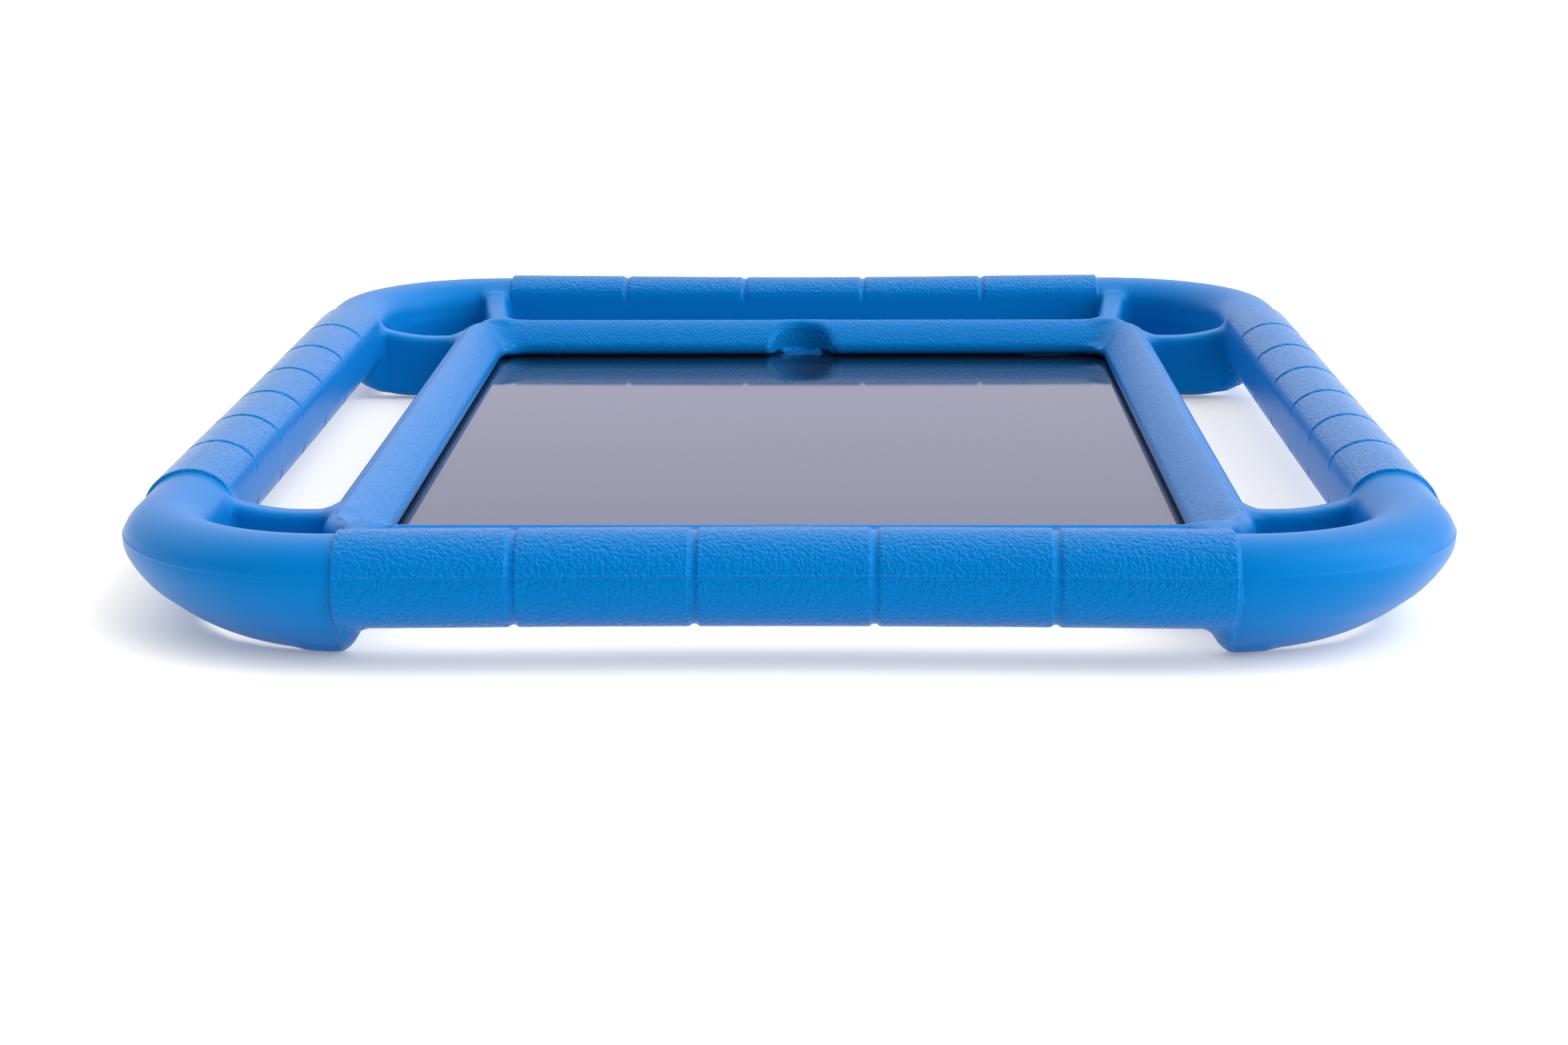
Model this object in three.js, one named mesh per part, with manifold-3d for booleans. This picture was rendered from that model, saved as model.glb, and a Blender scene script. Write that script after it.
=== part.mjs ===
// A 9.7-inch tablet held in a moulded foam frame with a grip handle along each side.
// Millimetres. Origin: middle of the footprint, at the level the feet stand on.
// +X to the right, +Y along the long side towards the front camera, +Z up out of the screen.

import * as THREE from 'three';
import { mergeVertices } from 'three/addons/utils/BufferGeometryUtils.js';
import Module from 'manifold-3d';

const wasm = await Module();
wasm.setup();

// ---- Driving dimensions: tablet ----
const TABLET_HALF_X = 84.75;
const TABLET_HALF_Y = 120;
const TABLET_THICKNESS = 6.4;
const TABLET_CORNER = 12;
const HOUSING_WALL = 1.4;
const HOUSING_FLOOR = 0.8;
const TOUCH_GAP = 0.3;
const STACK_GAP = 0.15;
const HOUSING_EDGE = 1.6;
const GLASS_PROUD = 0.2;

// ---- Driving dimensions: foam case ----
const SHORT_PITCH = 33;
const LONG_PITCH = 30;
const SHORT_SEGMENTS = 5;
const LONG_SEGMENTS = 7;
const GROOVE_WIDTH = 1.6;
const GRIP_PROUD = 0.8;
const CASE_HALF_X = 129.5;
const CASE_HALF_Y = 169;
const CASE_TOP = 24.6;
const SHORT_BOW = 3.5;
const LONG_BOW = -0.6;
const GRIP_HALF_WIDTH = 9.6;
const GRIP_HALF_HEIGHT = 9;
const CORNER_RADIUS = 45;
const RING_INNER_RADIUS = 20;
const RING_EDGE = 7.2;
const FLOOR_THICKNESS = 2.5;
const FRAME_WALL = 7;
const FRAME_CORNER = 14;
const FRAME_TOP = 18;
const LIP_EDGE = 12.1;
const LIP_OVERLAP = 4.4;
const LIP_CORNER = 7;
const WEB_THICKNESS = 6.4;
const WEB_TOP = 17;
const WEB_BOTTOM = 0.8;
const WEB_SINK = 4;
const WEB_LEAN = 3.6;
const FOOT_INSET = 12;
const FOOT_REACH = 6.5;
const SCOOP_RADIUS = 8.3;
const SCOOP_INSET = 6;
const FRAME_EDGE = 2.6;

// ---- Levels worked out from them ----
const GRIP_MIDDLE = CASE_TOP - GRIP_HALF_HEIGHT;
const HOUSING_BOTTOM = FLOOR_THICKNESS + TOUCH_GAP;
const GLASS_TOP = HOUSING_BOTTOM + TABLET_THICKNESS;
const GLASS_BOTTOM = GLASS_TOP - 0.8;
const FILM_TOP = GLASS_BOTTOM - STACK_GAP;
const FILM_BOTTOM = FILM_TOP - 0.25;
const PANEL_TOP = FILM_BOTTOM - STACK_GAP;
const PANEL_BOTTOM = PANEL_TOP - 0.8;
const BACKLIGHT_TOP = PANEL_BOTTOM - STACK_GAP;
const BACKLIGHT_BOTTOM = BACKLIGHT_TOP - 0.7;
const TRAY_FLOOR = HOUSING_BOTTOM + HOUSING_FLOOR;
const STACK_BOTTOM = TRAY_FLOOR + STACK_GAP;
const STACK_TOP = BACKLIGHT_BOTTOM - STACK_GAP;
const STACK_MIDDLE = (STACK_BOTTOM + STACK_TOP) / 2;
const BUTTON_LEVEL = HOUSING_BOTTOM + TABLET_THICKNESS / 2;
const POCKET_HALF_X = TABLET_HALF_X - HOUSING_WALL;
const POCKET_HALF_Y = TABLET_HALF_Y - HOUSING_WALL;
const FRAME_HALF_X = TABLET_HALF_X + FRAME_WALL;
const FRAME_HALF_Y = TABLET_HALF_Y + FRAME_WALL;
const GRIP_END_X = (SHORT_SEGMENTS / 2) * SHORT_PITCH;
const GRIP_END_Y = (LONG_SEGMENTS / 2) * LONG_PITCH;

// ---- Places of the tablet's features ----
const HOME_BUTTON = { x: 0, y: -111.2, radius: 5.3 };
const FRONT_CAMERA = { x: 0, y: 111.2, half: 3.4 };
const REAR_CAMERA = { x: 70, y: 102, radius: 4.2, hole: 3.75, window: 9 };
const LIGHT_SENSOR = { x: 12.5, half: 1.2, roomHalf: 2 };
const POWER_BUTTON = { x: 66, halfLength: 5.2 };
const VOLUME_BUTTONS = { up: 92, down: 78, halfLength: 5.2 };
const BUTTON_HALF_HEIGHT = 1.2;
const BUTTON_PROUD = 0.5;
const BUTTON_ROOM = { half: 7, depth: 5 };
const HEADPHONE_X = -66;
const SPEAKER_X = 50;

// Windows in the foam wall: half their length along the wall, and half their height.
const BUTTON_WINDOW = { halfLength: 9, halfHeight: 2.8 };
const VOLUME_WINDOW = { halfLength: 16, halfHeight: 2.8 };
const HEADPHONE_WINDOW = { halfLength: 3.2, halfHeight: 2.9 };
const MICROPHONE_WINDOW = { halfLength: 2, halfHeight: 1.4 };
const CHARGE_WINDOW = { halfLength: 8, halfHeight: 2.8 };
const SPEAKER_WINDOW = { halfLength: 13, halfHeight: 2.2 };

// ---- Geometry helpers ----

function toSolid(geometry) {
  geometry.deleteAttribute('normal');
  geometry.deleteAttribute('uv');
  const merged = mergeVertices(geometry, 1e-4);
  return new wasm.Manifold(new wasm.Mesh({
    numProp: 3,
    vertProperties: new Float32Array(merged.attributes.position.array),
    triVerts: new Uint32Array(merged.index.array),
  }));
}

function toGeometry(solid) {
  const mesh = solid.getMesh();
  const geometry = new THREE.BufferGeometry();
  geometry.setAttribute('position', new THREE.BufferAttribute(mesh.vertProperties, 3));
  geometry.setIndex(new THREE.BufferAttribute(mesh.triVerts, 1));
  return geometry;
}

const join = (solids) => solids.reduce((whole, next) => whole.add(next));
const cut = (whole, tools) => tools.reduce((left, tool) => left.subtract(tool), whole);

function roundedRect(halfX, halfY, radius, x = 0, y = 0) {
  const shape = new THREE.Shape();
  shape.absarc(x + halfX - radius, y + halfY - radius, radius, 0, Math.PI / 2);
  shape.absarc(x - halfX + radius, y + halfY - radius, radius, Math.PI / 2, Math.PI);
  shape.absarc(x - halfX + radius, y - halfY + radius, radius, Math.PI, 1.5 * Math.PI);
  shape.absarc(x + halfX - radius, y - halfY + radius, radius, 1.5 * Math.PI, 2 * Math.PI);
  return shape;
}

// A rounded rectangle with bowed sides, as the case has: its short ones curve in, its long ones out.
function bowedRect(halfX, halfY, radius) {
  const x = halfX - radius;
  const y = halfY - radius;
  const shape = new THREE.Shape();
  shape.absarc(x, y, radius, 0, Math.PI / 2);
  shape.quadraticCurveTo(0, halfY - 2 * SHORT_BOW, -x, halfY);
  shape.absarc(-x, y, radius, Math.PI / 2, Math.PI);
  shape.quadraticCurveTo(-halfX + 2 * LONG_BOW, 0, -halfX, -y);
  shape.absarc(-x, -y, radius, Math.PI, 1.5 * Math.PI);
  shape.quadraticCurveTo(0, -halfY + 2 * SHORT_BOW, x, -halfY);
  shape.absarc(x, -y, radius, 1.5 * Math.PI, 2 * Math.PI);
  shape.quadraticCurveTo(halfX - 2 * LONG_BOW, 0, halfX, y);
  return shape;
}

// A flat plate of the shape from z0 to z1. An edge draws the outline in by size over thickness.
function plate(shape, z0, z1, { edge = null, curveSegments = 4 } = {}) {
  const thickness = edge ? edge.thickness : 0;
  const geometry = new THREE.ExtrudeGeometry(shape, {
    depth: z1 - z0 - 2 * thickness,
    curveSegments,
    bevelEnabled: Boolean(edge),
    bevelThickness: thickness,
    bevelSize: edge ? edge.size : 0,
    bevelOffset: edge ? -edge.size : 0,
    bevelSegments: edge ? edge.steps : 0,
  });
  geometry.translate(0, 0, z0 + thickness);
  return toSolid(geometry);
}

function block(x0, x1, y0, y1, z0, z1) {
  const geometry = new THREE.BoxGeometry(x1 - x0, y1 - y0, z1 - z0);
  geometry.translate((x0 + x1) / 2, (y0 + y1) / 2, (z0 + z1) / 2);
  return toSolid(geometry);
}

function disc(x, y, radius, z0, z1, sides = 24) {
  const geometry = new THREE.CylinderGeometry(radius, radius, z1 - z0, sides);
  geometry.rotateX(Math.PI / 2);
  geometry.translate(x, y, (z0 + z1) / 2);
  return toSolid(geometry);
}

// A long round-ended bar, lying in a side wall: its ends lie along the wall.
function capsuleAlongX(x, z, halfLength, halfHeight, y0, y1) {
  const geometry = new THREE.ExtrudeGeometry(roundedRect(halfLength, halfHeight, halfHeight * 0.98), {
    depth: y1 - y0, curveSegments: 4, bevelEnabled: false,
  });
  geometry.rotateX(Math.PI / 2);
  geometry.translate(x, y1, z);
  return toSolid(geometry);
}

function capsuleAlongY(y, z, halfLength, halfHeight, x0, x1) {
  const geometry = new THREE.ExtrudeGeometry(roundedRect(halfHeight, halfLength, halfHeight * 0.98), {
    depth: x1 - x0, curveSegments: 4, bevelEnabled: false,
  });
  geometry.rotateY(Math.PI / 2);
  geometry.translate(x0, y, z);
  return toSolid(geometry);
}

// ---- Materials ----

const material = (color, roughness, metalness = 0) =>
  new THREE.MeshStandardMaterial({ color, roughness, metalness });

const FOAM = material(0x0a6ec2, 0.6);
const GLASS = material(0x15161a, 0.08);
const ALUMINIUM = material(0xc4c6c9, 0.35, 0.9);
const STEEL = material(0x9a9da1, 0.3, 0.9);
const BLACK_PLASTIC = material(0x1c1d1f, 0.5);
const CIRCUIT_BOARD = material(0x14503a, 0.55);
const BATTERY_FOIL = material(0x2b2d31, 0.45);
const FLEX_FILM = material(0xb0701c, 0.4);

const model = new THREE.Group();

function addNode(name, solid, nodeMaterial) {
  const mesh = new THREE.Mesh(toGeometry(solid), nodeMaterial);
  mesh.name = name;
  model.add(mesh);
}

// ---- Foam case ----

// Moves a grip's points with the bow of its side, most at the middle.
function bowAlong(geometry, axis, side) {
  const { position } = geometry.attributes;
  const bow = axis === 'x' ? SHORT_BOW : LONG_BOW;
  const reach = (axis === 'x' ? CASE_HALF_X : CASE_HALF_Y) - CORNER_RADIUS;
  for (let i = 0; i < position.count; i += 1) {
    const along = axis === 'x' ? position.getX(i) : position.getY(i);
    const shift = side * bow * Math.max(0, 1 - (along / reach) ** 2);
    if (axis === 'x') position.setY(i, position.getY(i) - shift);
    else position.setX(i, position.getX(i) - shift);
  }
}

// One grip: segments of an oval bar with a groove between each two, around a thinner core.
function gripAlong(axis, side) {
  const count = axis === 'x' ? SHORT_SEGMENTS : LONG_SEGMENTS;
  const pitch = axis === 'x' ? SHORT_PITCH : LONG_PITCH;
  const offset = side * ((axis === 'x' ? CASE_HALF_Y : CASE_HALF_X) - GRIP_HALF_WIDTH);
  const segments = [];
  for (let i = 0; i < count; i += 1) {
    const section = new THREE.Shape();
    section.absellipse(0, 0, GRIP_HALF_HEIGHT, GRIP_HALF_WIDTH, 0, 2 * Math.PI);
    const geometry = new THREE.ExtrudeGeometry(section, {
      depth: pitch - GROOVE_WIDTH, curveSegments: 7, bevelEnabled: false,
    });
    geometry.translate(0, 0, (i - count / 2) * pitch + GROOVE_WIDTH / 2);
    geometry.rotateY(Math.PI / 2);
    if (axis === 'y') geometry.rotateZ(Math.PI / 2);
    if (axis === 'x') geometry.translate(0, offset, GRIP_MIDDLE);
    else geometry.translate(offset, 0, GRIP_MIDDLE);
    bowAlong(geometry, axis, side);
    segments.push(toSolid(geometry));
  }
  return segments;
}

function ringCore() {
  const outline = bowedRect(CASE_HALF_X - GRIP_PROUD, CASE_HALF_Y - GRIP_PROUD, CORNER_RADIUS);
  outline.holes.push(ringHole());
  const half = GRIP_HALF_HEIGHT - GRIP_PROUD;
  const edge = { size: RING_EDGE, thickness: half - 0.2, steps: 3 };
  return plate(outline, GRIP_MIDDLE - half, GRIP_MIDDLE + half, { edge, curveSegments: 6 });
}

function ringHole() {
  const width = 2 * GRIP_HALF_WIDTH - GRIP_PROUD;
  return bowedRect(CASE_HALF_X - width, CASE_HALF_Y - width, RING_INNER_RADIUS);
}

// The corners' undersides curve down and in, like a hull, to a flat foot.
function feet() {
  const depth = GRIP_MIDDLE;
  const edge = { size: FOOT_INSET, thickness: depth - 0.1, steps: 4 };
  const outline = bowedRect(CASE_HALF_X - GRIP_PROUD, CASE_HALF_Y - GRIP_PROUD, CORNER_RADIUS);
  const hull = plate(outline, 0, 2 * depth, { edge, curveSegments: 6 });
  const rim = hull.subtract(plate(ringHole(), -1, 2 * depth + 1, { curveSegments: 6 }));
  const innerX = GRIP_END_X - FOOT_REACH;
  const innerY = GRIP_END_Y - FOOT_REACH;
  const corners = [];
  for (const sx of [-1, 1]) {
    for (const sy of [-1, 1]) {
      const xs = [sx * innerX, sx * (CASE_HALF_X + 1)].sort((a, b) => a - b);
      const ys = [sy * innerY, sy * (CASE_HALF_Y + 1)].sort((a, b) => a - b);
      corners.push(rim.intersect(block(xs[0], xs[1], ys[0], ys[1], -1, depth)));
    }
  }
  return corners;
}

// A web's outline, from its two corners at the ring to its two at the frame.
function webOutline(signX, signY, corners) {
  return new THREE.Shape(corners.map(([x, y]) => new THREE.Vector2(signX * x, signY * y)));
}

// Thin walls that carry the inner frame, two at each corner, level with the ends of the grips.
function webs() {
  const half = WEB_THICKNESS / 2;
  const ringX = CASE_HALF_X - 2 * GRIP_HALF_WIDTH + WEB_SINK;
  const ringY = CASE_HALF_Y - 2 * GRIP_HALF_WIDTH + WEB_SINK;
  const frameX = FRAME_HALF_X - WEB_SINK;
  const frameY = FRAME_HALF_Y - WEB_SINK;
  const ringEnd = GRIP_END_X + WEB_LEAN;
  const sideWeb = [
    [ringX, GRIP_END_Y + half], [ringX, GRIP_END_Y - half],
    [frameX, GRIP_END_Y - half], [frameX, GRIP_END_Y + half],
  ];
  const endWeb = [
    [ringEnd - half, ringY], [ringEnd + half, ringY],
    [GRIP_END_X + half, frameY], [GRIP_END_X - half, frameY],
  ];
  const outlines = [-1, 1].flatMap((signX) => [-1, 1].flatMap((signY) => [
    webOutline(signX, signY, sideWeb),
    webOutline(signX, signY, endWeb),
  ]));
  return outlines.map((outline) => plate(outline, WEB_BOTTOM, WEB_TOP));
}

function innerFrame() {
  const edge = { size: FRAME_EDGE, thickness: FRAME_EDGE, steps: 2 };
  return plate(roundedRect(FRAME_HALF_X, FRAME_HALF_Y, FRAME_CORNER), 0, FRAME_TOP, { edge });
}

function tabletPocket() {
  const halfX = TABLET_HALF_X + TOUCH_GAP;
  const halfY = TABLET_HALF_Y + TOUCH_GAP;
  const pocket = roundedRect(halfX, halfY, TABLET_CORNER + TOUCH_GAP);
  return plate(pocket, FLOOR_THICKNESS, GLASS_TOP + TOUCH_GAP);
}

// The window in the lip: upright at the glass, then sloping out to the frame's top.
function screenWindow() {
  const halfX = TABLET_HALF_X - LIP_OVERLAP;
  const halfY = TABLET_HALF_Y - LIP_OVERLAP;
  const slopeRun = FRAME_HALF_X - FRAME_EDGE - halfX;
  const slopeRise = FRAME_TOP - LIP_EDGE;
  const upright = plate(roundedRect(halfX, halfY, LIP_CORNER), GLASS_TOP, LIP_EDGE + 0.2);
  const wide = roundedRect(halfX + slopeRun, halfY + slopeRun, LIP_CORNER + slopeRun);
  const edge = { size: slopeRun, thickness: slopeRise, steps: 1 };
  return upright.add(plate(wide, LIP_EDGE, LIP_EDGE + 2 * slopeRise + 1, { edge }));
}

// Openings in the frame's wall and floor for buttons, sockets, speakers and the rear camera.
function caseOpenings() {
  const outer = FRAME_HALF_Y + 1;
  const inner = TABLET_HALF_Y - 1;
  const scoopY = TABLET_HALF_Y - SCOOP_INSET;
  const endWindow = (x, { halfLength, halfHeight }, y0, y1) =>
    capsuleAlongX(x, BUTTON_LEVEL, halfLength, halfHeight, y0, y1);
  return [
    disc(0, scoopY, SCOOP_RADIUS, GLASS_TOP, FRAME_TOP + 1),
    disc(0, -scoopY, SCOOP_RADIUS, GLASS_TOP, FRAME_TOP + 1),
    disc(REAR_CAMERA.x, REAR_CAMERA.y, REAR_CAMERA.window, -1, FLOOR_THICKNESS + 1),
    endWindow(POWER_BUTTON.x, BUTTON_WINDOW, inner, outer),
    endWindow(HEADPHONE_X, HEADPHONE_WINDOW, inner, outer),
    endWindow(0, MICROPHONE_WINDOW, inner, outer),
    endWindow(0, CHARGE_WINDOW, -outer, -inner),
    endWindow(SPEAKER_X, SPEAKER_WINDOW, -outer, -inner),
    endWindow(-SPEAKER_X, SPEAKER_WINDOW, -outer, -inner),
    capsuleAlongY(
      (VOLUME_BUTTONS.up + VOLUME_BUTTONS.down) / 2, BUTTON_LEVEL,
      VOLUME_WINDOW.halfLength, VOLUME_WINDOW.halfHeight, TABLET_HALF_X - 1, FRAME_HALF_X + 1,
    ),
  ];
}

function foamCase() {
  const grips = [
    ...gripAlong('x', -1), ...gripAlong('x', 1), ...gripAlong('y', -1), ...gripAlong('y', 1),
  ];
  const body = join([ringCore(), ...grips, ...feet(), ...webs(), innerFrame()]);
  return cut(body, [tabletPocket(), screenWindow(), ...caseOpenings()]);
}

addNode('foam_case', foamCase(), FOAM);

// ---- Tablet housing and its openings ----

function rearHousing() {
  const edge = { size: HOUSING_EDGE, thickness: HOUSING_EDGE, steps: 2 };
  const rim = GLASS_TOP - GLASS_PROUD;
  const shell = plate(
    roundedRect(TABLET_HALF_X, TABLET_HALF_Y, TABLET_CORNER), HOUSING_BOTTOM, rim + HOUSING_EDGE, { edge },
  );
  const pocket = roundedRect(POCKET_HALF_X, POCKET_HALF_Y, TABLET_CORNER - HOUSING_WALL);
  const outside = TABLET_HALF_Y + 1;
  const inside = POCKET_HALF_Y - 1;
  const sideOutside = TABLET_HALF_X + 1;
  const sideInside = POCKET_HALF_X - 1;
  const holeHeight = BUTTON_HALF_HEIGHT + STACK_GAP;
  const powerHole = POWER_BUTTON.halfLength + STACK_GAP;
  const volumeHole = VOLUME_BUTTONS.halfLength + STACK_GAP;
  return cut(shell, [
    block(-sideOutside, sideOutside, -outside, outside, rim, rim + 3),
    plate(pocket, TRAY_FLOOR, rim + 1),
    disc(REAR_CAMERA.x, REAR_CAMERA.y, REAR_CAMERA.hole, 0, TRAY_FLOOR + 1),
    capsuleAlongX(POWER_BUTTON.x, BUTTON_LEVEL, powerHole, holeHeight, inside, outside),
    capsuleAlongX(HEADPHONE_X, STACK_MIDDLE + 0.15, 1.9, 1.15, inside, outside),
    capsuleAlongX(0, BUTTON_LEVEL, 0.8, 0.5, inside, outside),
    capsuleAlongX(0, STACK_MIDDLE, 3.6, 0.95, -outside, -inside),
    capsuleAlongX(SPEAKER_X, STACK_MIDDLE, 10, 0.6, -outside, -inside),
    capsuleAlongX(-SPEAKER_X, STACK_MIDDLE, 10, 0.6, -outside, -inside),
    capsuleAlongY(VOLUME_BUTTONS.up, BUTTON_LEVEL, volumeHole, holeHeight, sideInside, sideOutside),
    capsuleAlongY(VOLUME_BUTTONS.down, BUTTON_LEVEL, volumeHole, holeHeight, sideInside, sideOutside),
  ]);
}

addNode('rear_housing', rearHousing(), ALUMINIUM);

// ---- Display stack, from the glass down ----

const GLASS_HALF_X = POCKET_HALF_X - TOUCH_GAP;
const GLASS_HALF_Y = POCKET_HALF_Y - TOUCH_GAP;
const GLASS_CORNER = TABLET_CORNER - HOUSING_WALL - TOUCH_GAP;
const PANEL_HALF_X = 78.5;
const PANEL_HALF_Y = 104;
const GASKET_WIDTH = 1.7;
const BRACKET_HALF_X = 9;
const BRACKET_SCREW_X = 7.2;
const BRACKET_SCREW_Y = -108.6;
const BRACKET_TOP = BACKLIGHT_BOTTOM - 0.1;
const SCREW_STEM = 0.6;
const SCREW_HEAD = 1.3;

const homeHole = (z0, z1) => disc(HOME_BUTTON.x, HOME_BUTTON.y, HOME_BUTTON.radius + TOUCH_GAP, z0, z1);

function coverGlass() {
  const sheet = plate(
    roundedRect(GLASS_HALF_X, GLASS_HALF_Y, GLASS_CORNER), GLASS_BOTTOM, GLASS_TOP,
    { edge: { size: 0.25, thickness: 0.25, steps: 1 } },
  );
  return sheet.subtract(homeHole(GLASS_BOTTOM - 1, GLASS_TOP + 1));
}

function touchDigitizer() {
  const inset = GASKET_WIDTH + STACK_GAP;
  const outline = roundedRect(GLASS_HALF_X - inset, GLASS_HALF_Y - inset, GLASS_CORNER - inset);
  return plate(outline, FILM_BOTTOM, FILM_TOP).subtract(homeHole(FILM_BOTTOM - 1, FILM_TOP + 1));
}

function glassGasket() {
  const outline = roundedRect(GLASS_HALF_X, GLASS_HALF_Y, GLASS_CORNER);
  outline.holes.push(roundedRect(
    GLASS_HALF_X - GASKET_WIDTH, GLASS_HALF_Y - GASKET_WIDTH, GLASS_CORNER - GASKET_WIDTH,
  ));
  return plate(outline, FILM_BOTTOM, FILM_TOP);
}

function displayCarrier() {
  const outline = roundedRect(GLASS_HALF_X, GLASS_HALF_Y, GLASS_CORNER);
  outline.holes.push(roundedRect(PANEL_HALF_X + 0.5, PANEL_HALF_Y + 0.5, 1));
  const ring = plate(outline, BACKLIGHT_BOTTOM, PANEL_TOP);
  const { x, y, half } = FRONT_CAMERA;
  const reach = half + TOUCH_GAP;
  return cut(ring, [
    homeHole(BACKLIGHT_BOTTOM - 1, PANEL_TOP + 1),
    block(x - reach, x + reach, y - reach, y + reach, BACKLIGHT_BOTTOM - 1, PANEL_TOP + 1),
    block(
      LIGHT_SENSOR.x - LIGHT_SENSOR.roomHalf, LIGHT_SENSOR.x + LIGHT_SENSOR.roomHalf,
      y - LIGHT_SENSOR.roomHalf, y + LIGHT_SENSOR.roomHalf, BACKLIGHT_BOTTOM - 1, PANEL_TOP + 1,
    ),
    disc(-BRACKET_SCREW_X, BRACKET_SCREW_Y, SCREW_HEAD + STACK_GAP, 0, PANEL_TOP + 1),
    disc(BRACKET_SCREW_X, BRACKET_SCREW_Y, SCREW_HEAD + STACK_GAP, 0, PANEL_TOP + 1),
    block(
      POWER_BUTTON.x - BUTTON_ROOM.half, POWER_BUTTON.x + BUTTON_ROOM.half,
      POCKET_HALF_Y - BUTTON_ROOM.depth, POCKET_HALF_Y + 1, 0, PANEL_TOP + 1,
    ),
    block(
      POCKET_HALF_X - BUTTON_ROOM.depth, POCKET_HALF_X + 1,
      VOLUME_BUTTONS.down - BUTTON_ROOM.half, VOLUME_BUTTONS.up + BUTTON_ROOM.half, 0, PANEL_TOP + 1,
    ),
  ]);
}

const panelBlock = (inset, z0, z1) => block(
  -PANEL_HALF_X + inset, PANEL_HALF_X - inset, -PANEL_HALF_Y + inset, PANEL_HALF_Y - inset, z0, z1,
);

// A shallow tray, open towards the panel.
const backlightTray = () => panelBlock(0, BACKLIGHT_BOTTOM, BACKLIGHT_TOP)
  .subtract(panelBlock(2, BACKLIGHT_BOTTOM + 0.35, BACKLIGHT_TOP + 1));

const displayPanel = () => panelBlock(0, PANEL_BOTTOM, PANEL_TOP);

addNode('cover_glass', coverGlass(), GLASS);
addNode('touch_digitizer', touchDigitizer(), FLEX_FILM);
addNode('glass_gasket', glassGasket(), BLACK_PLASTIC);
addNode('display_carrier', displayCarrier(), BLACK_PLASTIC);
addNode('display_panel', displayPanel(), GLASS);
addNode('display_backlight', backlightTray(), STEEL);

// ---- Buttons and the switches they press ----

// A round cap with a shallow dish in its face and a stem above its switch.
function homeButton() {
  const { radius, x, y } = HOME_BUTTON;
  const top = GLASS_TOP - 0.05;
  const capBottom = GLASS_BOTTOM - 0.35;
  const stemBottom = capBottom - 0.4;
  const profile = [
    [0, stemBottom], [1.5, stemBottom], [1.5, capBottom], [radius, capBottom],
    [radius, top - 0.15], [radius - 0.15, top], [radius - 0.7, top - 0.05], [0, top - 0.3],
  ];
  const geometry = new THREE.LatheGeometry(profile.map(([r, z]) => new THREE.Vector2(r, z)), 24);
  geometry.rotateX(Math.PI / 2);
  geometry.translate(x, y, 0);
  return toSolid(geometry);
}

const HOME_SWITCH_TOP = GLASS_BOTTOM - 1.15;

function homeButtonSwitch() {
  const { x, y } = HOME_BUTTON;
  return block(x - 2, x + 2, y - 2, y + 2, BACKLIGHT_BOTTOM + 0.05, HOME_SWITCH_TOP);
}

function homeButtonBracket() {
  const plateBlock = block(-BRACKET_HALF_X, BRACKET_HALF_X, -112.2, -105.4, BRACKET_TOP - 0.6, BRACKET_TOP);
  const holes = [-1, 1].map((s) =>
    disc(s * BRACKET_SCREW_X, BRACKET_SCREW_Y, SCREW_STEM + STACK_GAP, 0, BRACKET_TOP + 1, 12));
  return cut(plateBlock, holes);
}

function powerButton() {
  const { x, halfLength } = POWER_BUTTON;
  return capsuleAlongX(
    x, BUTTON_LEVEL, halfLength, BUTTON_HALF_HEIGHT, POCKET_HALF_Y - 0.8, TABLET_HALF_Y + BUTTON_PROUD,
  );
}

function volumeButton(y) {
  return capsuleAlongY(
    y, BUTTON_LEVEL, VOLUME_BUTTONS.halfLength, BUTTON_HALF_HEIGHT,
    POCKET_HALF_X - 0.8, TABLET_HALF_X + BUTTON_PROUD,
  );
}

const SWITCH_GAP = 0.5;
const SWITCH_DEPTH = 1.2;

function powerSwitch() {
  const back = POCKET_HALF_Y - 0.8 - SWITCH_GAP;
  const { x } = POWER_BUTTON;
  return block(x - 2.5, x + 2.5, back - SWITCH_DEPTH, back, BUTTON_LEVEL - 1.2, BUTTON_LEVEL + 1.2);
}

function volumeSwitch(y) {
  const back = POCKET_HALF_X - 0.8 - SWITCH_GAP;
  return block(back - SWITCH_DEPTH, back, y - 2.5, y + 2.5, BUTTON_LEVEL - 1.2, BUTTON_LEVEL + 1.2);
}

addNode('home_button', homeButton(), BLACK_PLASTIC);
addNode('home_button_switch', homeButtonSwitch(), STEEL);
addNode('home_button_bracket', homeButtonBracket(), STEEL);
addNode('power_button', powerButton(), ALUMINIUM);
addNode('power_switch', powerSwitch(), STEEL);
addNode('volume_up_button', volumeButton(VOLUME_BUTTONS.up), ALUMINIUM);
addNode('volume_up_switch', volumeSwitch(VOLUME_BUTTONS.up), STEEL);
addNode('volume_down_button', volumeButton(VOLUME_BUTTONS.down), ALUMINIUM);
addNode('volume_down_switch', volumeSwitch(VOLUME_BUTTONS.down), STEEL);

// ---- Batteries and main board ----

const BOARD = { x0: -58, x1: 58, y0: 78, y1: 102, z0: STACK_BOTTOM, z1: STACK_BOTTOM + 0.8 };
const BOARD_SCREW_INSET = 3;
const BATTERY = { halfGap: 1, outer: 78, y0: -100, y1: 74 };

const batteryCell = (side) => {
  const halfX = (BATTERY.outer - BATTERY.halfGap) / 2;
  const halfY = (BATTERY.y1 - BATTERY.y0) / 2;
  const x = side * (BATTERY.halfGap + halfX);
  return plate(roundedRect(halfX, halfY, 3, x, BATTERY.y0 + halfY), STACK_BOTTOM, STACK_TOP);
};

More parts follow.
